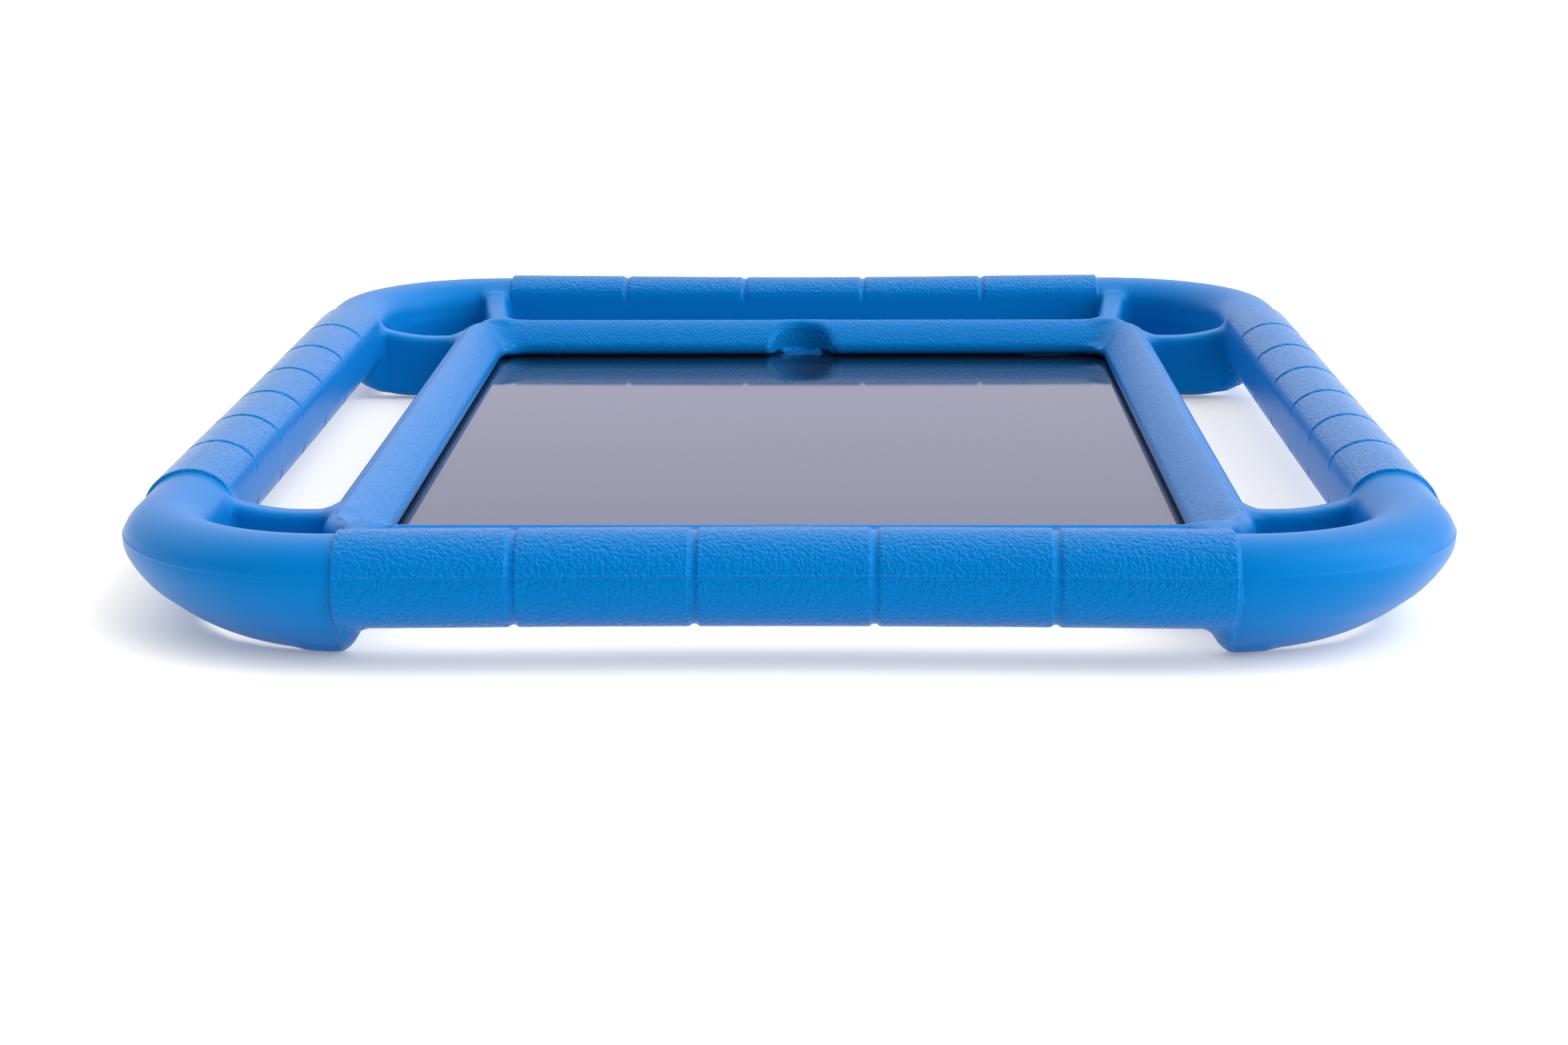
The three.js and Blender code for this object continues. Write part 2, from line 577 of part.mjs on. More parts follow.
const boardScrewPlaces = [
  [BOARD.x0 + BOARD_SCREW_INSET, BOARD.y0 + BOARD_SCREW_INSET],
  [BOARD.x1 - BOARD_SCREW_INSET, BOARD.y0 + BOARD_SCREW_INSET],
  [BOARD.x0 + BOARD_SCREW_INSET, BOARD.y1 - BOARD_SCREW_INSET],
  [BOARD.x1 - BOARD_SCREW_INSET, BOARD.y1 - BOARD_SCREW_INSET],
];

function logicBoard() {
  const sheet = block(BOARD.x0, BOARD.x1, BOARD.y0, BOARD.y1, BOARD.z0, BOARD.z1);
  const holes = boardScrewPlaces.map(([x, y]) => disc(x, y, SCREW_STEM + STACK_GAP, 0, 9, 12));
  return cut(sheet, holes);
}

// A stamped can over the chips, open towards the board.
function shieldCan(x0, x1, y0, y1) {
  const bottom = BOARD.z1 + 0.1;
  const can = block(x0, x1, y0, y1, bottom, STACK_TOP);
  return can.subtract(block(x0 + 0.3, x1 - 0.3, y0 + 0.3, y1 - 0.3, bottom - 1, STACK_TOP - 0.3));
}

function screw(x, y, seat) {
  const shank = disc(x, y, SCREW_STEM, seat - 0.75, seat + 0.3, 12);
  return shank.add(disc(x, y, SCREW_HEAD, seat + 0.08, seat + 0.7, 12));
}

addNode('battery_left', batteryCell(-1), BATTERY_FOIL);
addNode('battery_right', batteryCell(1), BATTERY_FOIL);
addNode('battery_cable', block(-4, 4, 74.2, 84, BOARD.z1 + 0.1, BOARD.z1 + 0.4), FLEX_FILM);
addNode('logic_board', logicBoard(), CIRCUIT_BOARD);
addNode('processor_shield', shieldCan(-44, -10, 81, 99), STEEL);
addNode('memory_shield', shieldCan(10, 34, 82, 98), STEEL);
boardScrewPlaces.forEach(([x, y], i) => {
  addNode(`logic_board_screw_${i + 1}`, screw(x, y, BOARD.z1), STEEL);
});
[-1, 1].forEach((side, i) => addNode(
  `home_bracket_screw_${i + 1}`, screw(side * BRACKET_SCREW_X, BRACKET_SCREW_Y, BRACKET_TOP), STEEL,
));

// ---- Cameras, sensors and sockets ----

function frontCamera() {
  const { x, y, half } = FRONT_CAMERA;
  const body = block(x - half, x + half, y - half, y + half, STACK_BOTTOM + 0.5, PANEL_TOP - 0.6);
  return body.add(disc(x, y, 1.8, STACK_BOTTOM + 1, PANEL_TOP, 16));
}

function rearCamera() {
  const { x, y, radius } = REAR_CAMERA;
  const body = block(x - 4.2, x + 4.2, y - 4.2, y + 4.2, STACK_BOTTOM, STACK_TOP);
  return body.subtract(disc(x, y, radius - 2, 0, STACK_BOTTOM + 0.8, 16));
}

// A trim ring on the housing's back, around the lens.
function rearCameraRing() {
  const { x, y, radius, hole } = REAR_CAMERA;
  const front = HOUSING_BOTTOM - 0.1;
  return disc(x, y, radius + 0.9, front - 0.4, front).subtract(disc(x, y, hole + STACK_GAP, 0, front + 1));
}

function rearCameraLens() {
  const { x, y, hole } = REAR_CAMERA;
  return disc(x, y, hole - TOUCH_GAP, HOUSING_BOTTOM - 0.1, TRAY_FLOOR - 0.1);
}

function headphoneJack() {
  const x = HEADPHONE_X;
  const face = POCKET_HALF_Y - 0.2;
  const body = block(x - 3, x + 3, face - 12.8, face, STACK_BOTTOM, STACK_TOP);
  return body.subtract(capsuleAlongX(x, STACK_MIDDLE, 1.75, 0.9, face - 10.8, face + 1));
}

function chargePort() {
  const face = -POCKET_HALF_Y + 0.2;
  const shell = block(-3.9, 3.9, face, face + 5.6, STACK_BOTTOM, STACK_TOP);
  const throat = block(-3.5, 3.5, face - 1, face + 4.8, STACK_BOTTOM + 0.3, STACK_TOP - 0.3);
  const tongue = block(-2.6, 2.6, face + 1.2, face + 5.2, STACK_BOTTOM + 0.9, STACK_TOP - 0.9);
  return shell.subtract(throat).add(tongue);
}

function speaker(side) {
  const x = side * SPEAKER_X;
  return plate(roundedRect(13, 5.5, 2, x, -POCKET_HALF_Y + 6.6), STACK_BOTTOM, STACK_TOP);
}

function speakerGrille(side) {
  const x = side * SPEAKER_X;
  const back = -POCKET_HALF_Y + 0.15;
  return block(x - 11, x + 11, back, back + 0.35, STACK_BOTTOM + 0.1, STACK_BOTTOM + 2.1);
}

function lightSensor() {
  const { x, half } = LIGHT_SENSOR;
  const { y } = FRONT_CAMERA;
  return block(x - half, x + half, y - half, y + half, BACKLIGHT_BOTTOM, PANEL_TOP - 0.3);
}

function microphone() {
  const face = POCKET_HALF_Y - 0.2;
  return block(-1.5, 1.5, face - 3, face, STACK_BOTTOM, STACK_TOP - 0.5);
}

addNode('front_camera', frontCamera(), BLACK_PLASTIC);
addNode('light_sensor', lightSensor(), BLACK_PLASTIC);
addNode('rear_camera', rearCamera(), BLACK_PLASTIC);
addNode('rear_camera_ring', rearCameraRing(), ALUMINIUM);
addNode('rear_camera_lens', rearCameraLens(), GLASS);
addNode('headphone_jack', headphoneJack(), BLACK_PLASTIC);
addNode('charge_port', chargePort(), STEEL);
addNode('microphone', microphone(), STEEL);
[['left', -1], ['right', 1]].forEach(([name, side]) => {
  addNode(`speaker_${name}`, speaker(side), BLACK_PLASTIC);
  addNode(`speaker_grille_${name}`, speakerGrille(side), STEEL);
});

// ---- Antennas and flexible cables ----

const antenna = (side) => {
  const xs = [side * 79.2, side * 81.6].sort((a, b) => a - b);
  return block(xs[0], xs[1], -40, 20, STACK_BOTTOM, STACK_BOTTOM + 1.4);
};

// A thin strip: its side profile is drawn along Y and Z, and it is width wide in X.
function flexStrip(x, width, profile) {
  const shape = new THREE.Shape(profile.map(([y, z]) => new THREE.Vector2(y, z)));
  const geometry = new THREE.ExtrudeGeometry(shape, { depth: width, bevelEnabled: false });
  geometry.rotateX(Math.PI / 2);
  geometry.rotateZ(Math.PI / 2);
  geometry.translate(x, 0, 0);
  return toSolid(geometry);
}

const FLEX_THICKNESS = 0.2;

function digitizerFlex() {
  const low = BOARD.z1 + 0.1;
  const outer = PANEL_HALF_Y + 0.36;
  const inner = outer - FLEX_THICKNESS;
  const landing = BOARD.y1 - 2;
  return flexStrip(-50, 14, [
    [landing, low], [outer, low], [outer, PANEL_TOP], [inner, PANEL_TOP],
    [inner, low + FLEX_THICKNESS], [landing, low + FLEX_THICKNESS],
  ]);
}

function displayFlex() {
  const low = BOARD.z1 + 0.1;
  const high = STACK_TOP;
  return flexStrip(38, 14, [
    [82, low], [92, low], [92, high], [86, high], [86, high - FLEX_THICKNESS],
    [91.8, high - FLEX_THICKNESS], [91.8, low + FLEX_THICKNESS], [82, low + FLEX_THICKNESS],
  ]);
}

addNode('antenna_left', antenna(-1), FLEX_FILM);
addNode('antenna_right', antenna(1), FLEX_FILM);
addNode('digitizer_flex_cable', digitizerFlex(), FLEX_FILM);
addNode('display_flex_cable', displayFlex(), FLEX_FILM);

export default model;
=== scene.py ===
"""A tablet in a blue moulded foam case, on a pale studio floor.

The foam case is one moulding. Its shape is a distance field in millimetres, made of the grips, corner
hulls, webs and inner frame, and its surface is drawn out of that field as one mesh. Every other piece is
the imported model's own, with a better material.
"""

import math

import bpy
import numpy as np
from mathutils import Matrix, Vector


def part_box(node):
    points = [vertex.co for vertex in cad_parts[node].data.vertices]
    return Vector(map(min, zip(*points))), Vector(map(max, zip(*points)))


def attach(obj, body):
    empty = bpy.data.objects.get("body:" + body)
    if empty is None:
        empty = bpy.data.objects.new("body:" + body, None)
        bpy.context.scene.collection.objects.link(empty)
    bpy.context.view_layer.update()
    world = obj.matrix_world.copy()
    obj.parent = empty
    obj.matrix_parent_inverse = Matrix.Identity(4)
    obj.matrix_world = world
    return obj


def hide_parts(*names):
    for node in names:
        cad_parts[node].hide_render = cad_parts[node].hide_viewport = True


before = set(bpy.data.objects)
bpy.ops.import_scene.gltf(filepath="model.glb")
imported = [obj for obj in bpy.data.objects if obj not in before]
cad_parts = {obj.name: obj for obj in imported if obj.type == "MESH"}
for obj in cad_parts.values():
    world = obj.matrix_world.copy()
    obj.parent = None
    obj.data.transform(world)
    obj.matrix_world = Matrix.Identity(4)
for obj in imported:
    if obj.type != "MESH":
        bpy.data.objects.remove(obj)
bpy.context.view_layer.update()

ROOT = "tablet_in_case"

# ---- Sizes in millimetres, from the frame's own nodes ----

MM = 1000.0
_, case_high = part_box("foam_case")
_, housing_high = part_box("rear_housing")
_, glass_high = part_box("cover_glass")
_, panel_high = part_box("display_panel")
_, volume_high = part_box("volume_up_button")
volume_low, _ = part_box("volume_down_button")
camera_low, camera_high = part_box("rear_camera_ring")
power_low, power_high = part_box("power_button")
jack_low, jack_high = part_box("headphone_jack")
speaker_low, speaker_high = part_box("speaker_right")

CASE_TOP = case_high.z * MM
TABLET_X = housing_high.x * MM
TABLET_Y = housing_high.y * MM
GLASS_TOP = glass_high.z * MM
BUTTON_Z = (power_low.z + power_high.z) / 2 * MM
POWER_X = (power_low.x + power_high.x) / 2 * MM
JACK_X = (jack_low.x + jack_high.x) / 2 * MM
SPEAKER_X = (speaker_low.x + speaker_high.x) / 2 * MM
VOLUME_Y = (volume_low.y + volume_high.y) / 2 * MM
CAMERA_X = (camera_low.x + camera_high.x) / 2 * MM
CAMERA_Y = (camera_low.y + camera_high.y) / 2 * MM

# ---- The foam case's own sizes in millimetres ----

# The ring: each bar is an oval with a flat inner wall. It bows and droops a little along its side, and
# carries a grip of a few segments that stands proud of it.
SHORT_PITCH = 33.0
LONG_PITCH = 30.0
SHORT_SEGMENTS = 5
LONG_SEGMENTS = 7
GRIP_END_X = SHORT_SEGMENTS * SHORT_PITCH / 2
GRIP_END_Y = LONG_SEGMENTS * LONG_PITCH / 2
CASE_X = 129.4
CASE_Y = 169.0
CORNER_RADIUS = 46.5
GRIP_WIDTH = 9.7
GRIP_HEIGHT = 9.1
GRIP_PROUD = 0.8
GRIP_SHOULDER = 0.9
GROOVE_GAP = 0.2
GROOVE_DEPTH = 0.5
GRIP_Z = CASE_TOP - 9.0
INNER_WALL = 8.2
INNER_WALL_BLEND = 1.0
SHORT_BOW = 3.5
SHORT_BOW_END = CASE_X - 14
LONG_BOW = -0.6
LONG_BOW_END = CASE_Y - 40
SHORT_DROOP = 0.2
LONG_DROOP = 0.7
PARTING_Z = GRIP_Z + 2.3
PARTING_HEIGHT = 0.28
PARTING_WIDTH = 0.22

# The corners' hulls, which lean in from the parting line down to the feet.
HULL_Z = PARTING_Z
HULL_INSET_FRONT = 16.0
HULL_INSET_SIDE = 26.0
HULL_POWER = 1.6
FOOT_REACH = 5.0
FOOT_SLOPE = 0.5
HULL_WALL_BLEND = 1.5
FOOT_BLEND = 3.0

# The inner frame, with its raised pad and the lip that falls towards the screen.
FRAME_WALL = 7.0
FRAME_X = TABLET_X + FRAME_WALL
FRAME_Y = TABLET_Y + FRAME_WALL
FRAME_CORNER = 14.0
FRAME_TOP = 18.0
FRAME_CREST = 2.2
FRAME_EDGE_BLEND = 4.0
FRAME_BASE_BLEND = 1.6
LIP_Z = 12.1
LIP_FALL_POWER = 1.7
PAD_INSET = 2.8
PAD_EDGE = 0.7
PAD_HEIGHT = 0.4
LIP_OVERLAP = 4.4
LIP_CORNER = 7.0
SCOOP_RADIUS = 8.3
SCOOP_INSET = 6.0
FLOOR_THICKNESS = 2.5
POCKET_GAP = 0.3
POCKET_CORNER = 12.3
POCKET_EDGE_BLEND = 1.2

# The moulded grain: its strength on the pad, and how far from the bars' inner walls it starts.
PAD_GRAIN = 0.45
GRAIN_FADE = 0.6

# The webs: the side ones run along x, the end ones along y, and both rise over a stretch to the ring.
WEB_HALF = 3.2
WEB_OVERLAP = 5.0
WEB_EDGE_BLEND = 2.4
SIDE_WEB_TOP = 16.4
SIDE_WEB_END = 117.0
SIDE_RISE_FROM = 97.0
END_WEB_TOP = 17.8
END_WEB_END = 156.0
END_RISE_FROM = 133.0
WEB_RISE = 3.2
WEB_RISE_RUN = 17.0
WEB_BOTTOM = 0.8
WEB_LEAN = 3.6
WEB_LEAN_RUN = 24.0

# The windows in the tray's wall by their half lengths and half heights, and the camera's round one.
WINDOW_HALF_HEIGHT = 2.8
POWER_WINDOW_HALF = 9.0
VOLUME_WINDOW_HALF = 16.0
PORT_WINDOW_HALF = 8.0
JACK_WINDOW_HALVES = (3.2, 2.9)
MICROPHONE_WINDOW_HALVES = (2.0, 1.4)
SPEAKER_WINDOW_HALVES = (13.0, 2.2)
CAMERA_WINDOW_RADIUS = 9.0
WINDOW_PAST = 1.0

# How softly the case's parts run into each other, and into what is cut from them.
RING_BLEND = 1.0
WEB_SKIN_BLEND = 1.5
WEB_BLEND = 2.0
FRAME_BLEND = 2.5
BASE_BLEND = 1.0
SCOOP_BLEND = 1.4
WINDOW_BLEND = 0.8
POCKET_BLEND = 0.6

# The mesh's spacing: along a grip segment, at its grooves, past the grips, and up the case.
SEGMENT_STEP = 3.3
GROOVE_STEP = 0.35
GROOVE_REACH = 1.4
PAST_GRIP = 2.0
CORNER_STEP = 1.6
EDGE_MARGIN = 1.6
HEIGHT_SPANS = [(-1.0, 17.1, 1.4), (17.1, 18.3, 0.2), (18.3, CASE_TOP + 1.2, 1.2)]


# ---- Distance field helpers: every distance is in millimetres and negative inside ----


def smooth_union(a, b, k):
    """Both shapes, blended over a width of about k."""
    h = np.clip(0.5 + 0.5 * (b - a) / k, 0, 1)
    return b + (a - b) * h - k * h * (1 - h)


def smooth_cut(a, tool, k):
    """The first shape without the tool."""
    return -smooth_union(-a, tool, k)


def smooth_both(a, b, k):
    """What the two shapes share."""
    return -smooth_union(-a, -b, k)


def rounded_rect(x, y, half_x, half_y, radius):
    """Distance to a rectangle with round corners."""
    qx = np.abs(x) - (half_x - radius)
    qy = np.abs(y) - (half_y - radius)
    outside = np.hypot(np.maximum(qx, 0), np.maximum(qy, 0))
    return outside + np.minimum(np.maximum(qx, qy), 0) - radius


def oval(across, up, half_width, half_height):
    """Distance to an oval bar's skin, from how far a point is across and up from its middle line.

    Close to the middle line, where that estimate fails, a plain depth takes its place.
    """
    too_near = 0.2
    near = np.hypot(across / half_width, up / half_height)
    steep = np.hypot(across / half_width**2, up / half_height**2)
    return np.where(
        near < too_near,
        (near - 1) * min(np.min(half_width), np.min(half_height)),
        near * (near - 1) / np.maximum(steep, 1e-9),
    )


def slot_box(along, up, half_length, half_height):
    """A long hole with round ends, seen from the end of the hole."""
    past = np.maximum(np.abs(along) - (half_length - half_height), 0)
    return np.hypot(past, up) - half_height


def swell(t):
    """From 1 at the middle of a span to 0 at its ends, level at both."""
    return np.cos(np.clip(t, -1, 1) * math.pi / 2) ** 2


def pillow(along, segments, pitch):
    """How far a grip stands out: full along each segment, less in a groove, nothing past the ends."""
    end = segments * pitch / 2
    place = (along + end) / pitch
    to_groove = np.abs(place - np.round(place)) * pitch
    rise = np.clip((to_groove - GROOVE_GAP) / GRIP_SHOULDER, 0, 1)
    depth = np.where(end - np.abs(along) < pitch / 2, GRIP_PROUD, GROOVE_DEPTH)
    eased = rise * rise * (3 - 2 * rise)
    return np.where(np.abs(along) < end, GRIP_PROUD - depth * (1 - eased), 0)


# ---- The foam case's field ----


def ring_plan(x, y):
    """Distance outward from the bars' middle line: the short bars bow in, the long ones barely out."""
    bowed_x = np.abs(x) + LONG_BOW * swell(y / LONG_BOW_END)
    bowed_y = np.abs(y) + SHORT_BOW * swell(x / SHORT_BOW_END)
    half_x = CASE_X - GRIP_WIDTH
    half_y = CASE_Y - GRIP_WIDTH
    return rounded_rect(bowed_x, bowed_y, half_x, half_y, CORNER_RADIUS - GRIP_WIDTH)


def grip_proud(x, y):
    """How far the grips stand out of the bars, along both pairs of sides."""
    past_frame = 4
    short = pillow(x, SHORT_SEGMENTS, SHORT_PITCH) * (np.abs(y) > FRAME_Y + past_frame)
    long = pillow(y, LONG_SEGMENTS, LONG_PITCH) * (np.abs(x) > FRAME_X + past_frame)
    return short + long


def droop(x, y):
    """How far the bars hang down, most at the middle of each side."""
    short = SHORT_DROOP * swell(x / GRIP_END_X) * (np.abs(y) > FRAME_Y)
    long = LONG_DROOP * swell(y / GRIP_END_Y) * (np.abs(x) > FRAME_X)
    return short + long


def ring(x, y, z, plan):
    """The ring of oval bars, with the fine ridge of the mould's parting line round its outside."""
    proud = grip_proud(x, y)
    core_width = GRIP_WIDTH - GRIP_PROUD
    core_height = GRIP_HEIGHT - GRIP_PROUD
    up = z - GRIP_Z + droop(x, y)
    bars = oval(plan, up, core_width + proud, core_height + proud)
    bars = smooth_both(bars, -(plan + INNER_WALL), INNER_WALL_BLEND)
    ridge = np.exp(-(((up - PARTING_Z + GRIP_Z) / PARTING_WIDTH) ** 2)) * (plan > 0)
    return bars - PARTING_HEIGHT * ridge


def hull_skin(x, y, z, plan):
    """The corners' outside below the parting line: it leans in to the foot, more so at the sides."""
    past_x = np.maximum(np.abs(x) - CASE_X + CORNER_RADIUS, 0)
    past_y = np.maximum(np.abs(y) - CASE_Y + CORNER_RADIUS, 1e-6)
    turn = np.arctan2(past_x, past_y) / (math.pi / 2)
    inset = HULL_INSET_FRONT + (HULL_INSET_SIDE - HULL_INSET_FRONT) * turn
    widest = plan - GRIP_WIDTH + GRIP_PROUD
    inward = np.maximum(widest / inset + 1, 0)
    down = np.maximum(1 - z / HULL_Z, 0)
    lean = (inward**HULL_POWER + down**HULL_POWER) ** (1 / HULL_POWER) - 1
    return np.where(z < HULL_Z, lean * np.minimum(inset, HULL_Z), widest)


def hull(x, y, z, plan, hull_side):
    """The corners' undersides, open in the middle, whose ends slope down to the feet."""
    skin = np.maximum(hull_side, z - GRIP_Z)
    inner_wall = -(plan + INNER_WALL)
    reach = FOOT_REACH - FOOT_SLOPE * np.maximum(GRIP_Z - GRIP_HEIGHT - z, 0)
    ends = np.maximum(GRIP_END_X - reach - np.abs(x), GRIP_END_Y - reach - np.abs(y))
    return smooth_both(smooth_both(skin, inner_wall, HULL_WALL_BLEND), ends, FOOT_BLEND)


def webs(x, y, z):
    """Thin walls from the ring to the inner frame, two at each corner, that rise to meet the ring."""
    ax = np.abs(x)
    ay = np.abs(y)
    side = np.abs(ay - GRIP_END_Y) - WEB_HALF
    side = np.maximum(side, np.maximum(ax - SIDE_WEB_END, FRAME_X - WEB_OVERLAP - ax))
    side_rise = WEB_RISE * np.clip((ax - SIDE_RISE_FROM) / WEB_RISE_RUN, 0, 1) ** 2
    side = smooth_both(side, z - SIDE_WEB_TOP - side_rise, WEB_EDGE_BLEND)
    towards_ring = np.clip((ay - FRAME_Y) / WEB_LEAN_RUN, 0, 1)
    end = np.abs(ax - GRIP_END_X - WEB_LEAN * towards_ring) - WEB_HALF
    end = np.maximum(end, np.maximum(ay - END_WEB_END, FRAME_Y - WEB_OVERLAP - ay))
    end_rise = WEB_RISE * np.clip((ay - END_RISE_FROM) / WEB_RISE_RUN, 0, 1) ** 2
    end = smooth_both(end, z - END_WEB_TOP - end_rise, WEB_EDGE_BLEND)
    return smooth_both(np.minimum(side, end), WEB_BOTTOM - z, BASE_BLEND)


def inner_frame(x, y, z):
    """The tray that holds the tablet, with a crowned top that falls towards the screen."""
    plan = rounded_rect(x, y, FRAME_X, FRAME_Y, FRAME_CORNER)
    run = FRAME_WALL + LIP_OVERLAP - FRAME_CREST
    fall = np.clip((-plan - FRAME_CREST) / run, 0, 1)
    beyond_pad = np.clip((plan + PAD_INSET) / PAD_EDGE + 0.5, 0, 1)
    top = FRAME_TOP - (FRAME_TOP - LIP_Z) * fall**LIP_FALL_POWER - PAD_HEIGHT * beyond_pad
    tray = smooth_both(plan, z - top, FRAME_EDGE_BLEND)
    return smooth_both(tray, -z, FRAME_BASE_BLEND)


def tablet_space(x, y, z):
    """The pocket that holds the tablet, and the window over its screen."""
    pocket = rounded_rect(x, y, TABLET_X + POCKET_GAP, TABLET_Y + POCKET_GAP, POCKET_CORNER)
    pocket = np.maximum(pocket, np.maximum(FLOOR_THICKNESS - z, z - GLASS_TOP - POCKET_GAP))
    window = rounded_rect(x, y, TABLET_X - LIP_OVERLAP, TABLET_Y - LIP_OVERLAP, LIP_CORNER)
    window = np.maximum(window, GLASS_TOP - z)
    return smooth_union(pocket, window, POCKET_EDGE_BLEND)


def wall_windows(x, y, z):
    """Holes through the tray's wall and floor for buttons, sockets, speakers and the rear camera."""
    up = z - BUTTON_Z
    behind = np.maximum(TABLET_Y - WINDOW_PAST - y, y - FRAME_Y - WINDOW_PAST)
    before = np.maximum(TABLET_Y - WINDOW_PAST + y, -y - FRAME_Y - WINDOW_PAST)
    beside = np.maximum(TABLET_X - WINDOW_PAST - x, x - FRAME_X - WINDOW_PAST)
    power = slot_box(x - POWER_X, up, POWER_WINDOW_HALF, WINDOW_HALF_HEIGHT)
    jack = slot_box(x - JACK_X, up, *JACK_WINDOW_HALVES)
    microphone = slot_box(x, up, *MICROPHONE_WINDOW_HALVES)
    port = slot_box(x, up, PORT_WINDOW_HALF, WINDOW_HALF_HEIGHT)
    speakers = slot_box(np.abs(x) - SPEAKER_X, up, *SPEAKER_WINDOW_HALVES)
    volume = slot_box(y - VOLUME_Y, up, VOLUME_WINDOW_HALF, WINDOW_HALF_HEIGHT)
    back_holes = np.maximum(np.minimum(np.minimum(power, jack), microphone), behind)
    front_holes = np.maximum(np.minimum(port, speakers), before)
    holes = np.minimum(np.minimum(back_holes, front_holes), np.maximum(volume, beside))
    camera_hole = np.hypot(x - CAMERA_X, y - CAMERA_Y) - CAMERA_WINDOW_RADIUS
    return np.minimum(holes, np.maximum(camera_hole, z - FLOOR_THICKNESS - WINDOW_PAST))


def scoops(x, y, z):
    """A thumb scoop at the middle of each end of the inner frame."""
    round_hole = np.hypot(x, np.abs(y) - TABLET_Y + SCOOP_INSET) - SCOOP_RADIUS
    return np.maximum(round_hole, GLASS_TOP - z)


def foam_field(x, y, z):
    """The whole case: ring and hulls, webs, inner frame, and the spaces cut out of them."""
    plan = ring_plan(x, y)
    hull_side = hull_skin(x, y, z, plan)
    past_grips = -np.maximum(GRIP_END_X - np.abs(x), GRIP_END_Y - np.abs(y))
    body = smooth_union(ring(x, y, z, plan), hull(x, y, z, plan, hull_side), RING_BLEND)
    body = smooth_both(body, np.minimum(hull_side, past_grips), RING_BLEND)
    trimmed_webs = smooth_both(webs(x, y, z), hull_side, WEB_SKIN_BLEND)
    body = smooth_union(body, trimmed_webs, WEB_BLEND)
    body = smooth_union(body, inner_frame(x, y, z), FRAME_BLEND)
    body = smooth_both(body, -z, BASE_BLEND)
    body = smooth_cut(body, scoops(x, y, z), SCOOP_BLEND)
    body = smooth_cut(body, wall_windows(x, y, z), WINDOW_BLEND)
    return smooth_cut(body, tablet_space(x, y, z), POCKET_BLEND)


# ---- The field's surface as a mesh ----


def grid_lines(spans):
    """Places along an axis, from (start, end, step) spans that follow on from each other."""
    lines = [np.linspace(a, b, max(1, round((b - a) / step)), endpoint=False) for a, b, step in spans]
    return np.concatenate([*lines, [spans[-1][1]]])


def lines_along_bars(segments, pitch, edge):
    """Close lines at each groove and grip end, wide ones along each segment, fine ones past the grips."""
    end = segments * pitch / 2
    fine_from = end + PAST_GRIP
    stop = -fine_from
    spans = [(-edge, stop, CORNER_STEP)]
    for groove in np.arange(-end, end + 1, pitch):
        spans.append((stop, groove - GROOVE_REACH, SEGMENT_STEP))
        stop = groove + GROOVE_REACH
        spans.append((groove - GROOVE_REACH, stop, GROOVE_STEP))
    spans.append((stop, fine_from, SEGMENT_STEP))
    spans.append((fine_from, edge, CORNER_STEP))
    return grid_lines(spans)


def cell_sums(field, lines):
    """For each cell, the sum and the number of the places where its edges cross the surface."""
    inside = field < 0
    shape = tuple(n - 1 for n in field.shape)
    sums = np.zeros((*shape, 3), np.float32)
    counts = np.zeros(shape, np.uint8)
    crossings = []
    for axis in range(3):
        lower = [slice(None)] * 3
        upper = [slice(None)] * 3
        lower[axis] = slice(None, -1)
        upper[axis] = slice(1, None)
        lower = tuple(lower)
        upper = tuple(upper)
        edges = np.argwhere(inside[lower] != inside[upper])
        i, j, k = edges.T
        low_value = field[lower][i, j, k]
        high_value = field[upper][i, j, k]
        share = low_value / (low_value - high_value)
        places = np.stack([lines[0][i], lines[1][j], lines[2][k]], 1)
        step = np.diff(lines[axis])[edges[:, axis]]
        places[:, axis] += share * step
        others = [a for a in range(3) if a != axis]
        for da in (0, 1):
            for db in (0, 1):
                cell = edges.copy()
                cell[:, others[0]] -= da
                cell[:, others[1]] -= db
                real = (cell >= 0).all(1) & (cell < shape).all(1)
                at = tuple(cell[real].T)
                np.add.at(sums, at, places[real])
                np.add.at(counts, at, 1)
        crossings.append((axis, edges, low_value < 0))
    return sums, counts, crossings


def quads_of(crossings, numbers):
    """One quad around each grid edge that crosses the surface, facing out."""
    quads = []
    for axis, edges, starts_inside in crossings:
        first, second = (axis + 1) % 3, (axis + 2) % 3
        corners = []
        for da, db in ((0, 0), (1, 0), (1, 1), (0, 1)):
            cell = edges.copy()
            cell[:, first] -= da
            cell[:, second] -= db
            corners.append(numbers[tuple(cell.T)])
        quad = np.stack(corners, 1)
        quad[~starts_inside] = quad[~starts_inside][:, ::-1]
        quads.append(quad)
    return np.concatenate(quads)


def slope(points, step=0.02):
    """The field's gradient at some points, by central differences."""
    x, y, z = points.T
    return np.stack(
        [
            foam_field(x + step, y, z) - foam_field(x - step, y, z),
            foam_field(x, y + step, z) - foam_field(x, y - step, z),
            foam_field(x, y, z + step) - foam_field(x, y, z - step),
        ],
        1,
    ) / (2 * step)


def settle(points, rounds=4, reach=0.5):
    """Moves points onto the surface along the field's slope, by at most reach at each round."""
    for _ in range(rounds):
        gradient = slope(points)
        value = foam_field(*points.T)
        size = np.maximum((gradient**2).sum(1), 1e-4)
        move = -(value / size)[:, None] * gradient
        length = np.maximum(np.linalg.norm(move, axis=1), 1e-9)
        points = points + move * np.minimum(1, reach / length)[:, None]
    return points


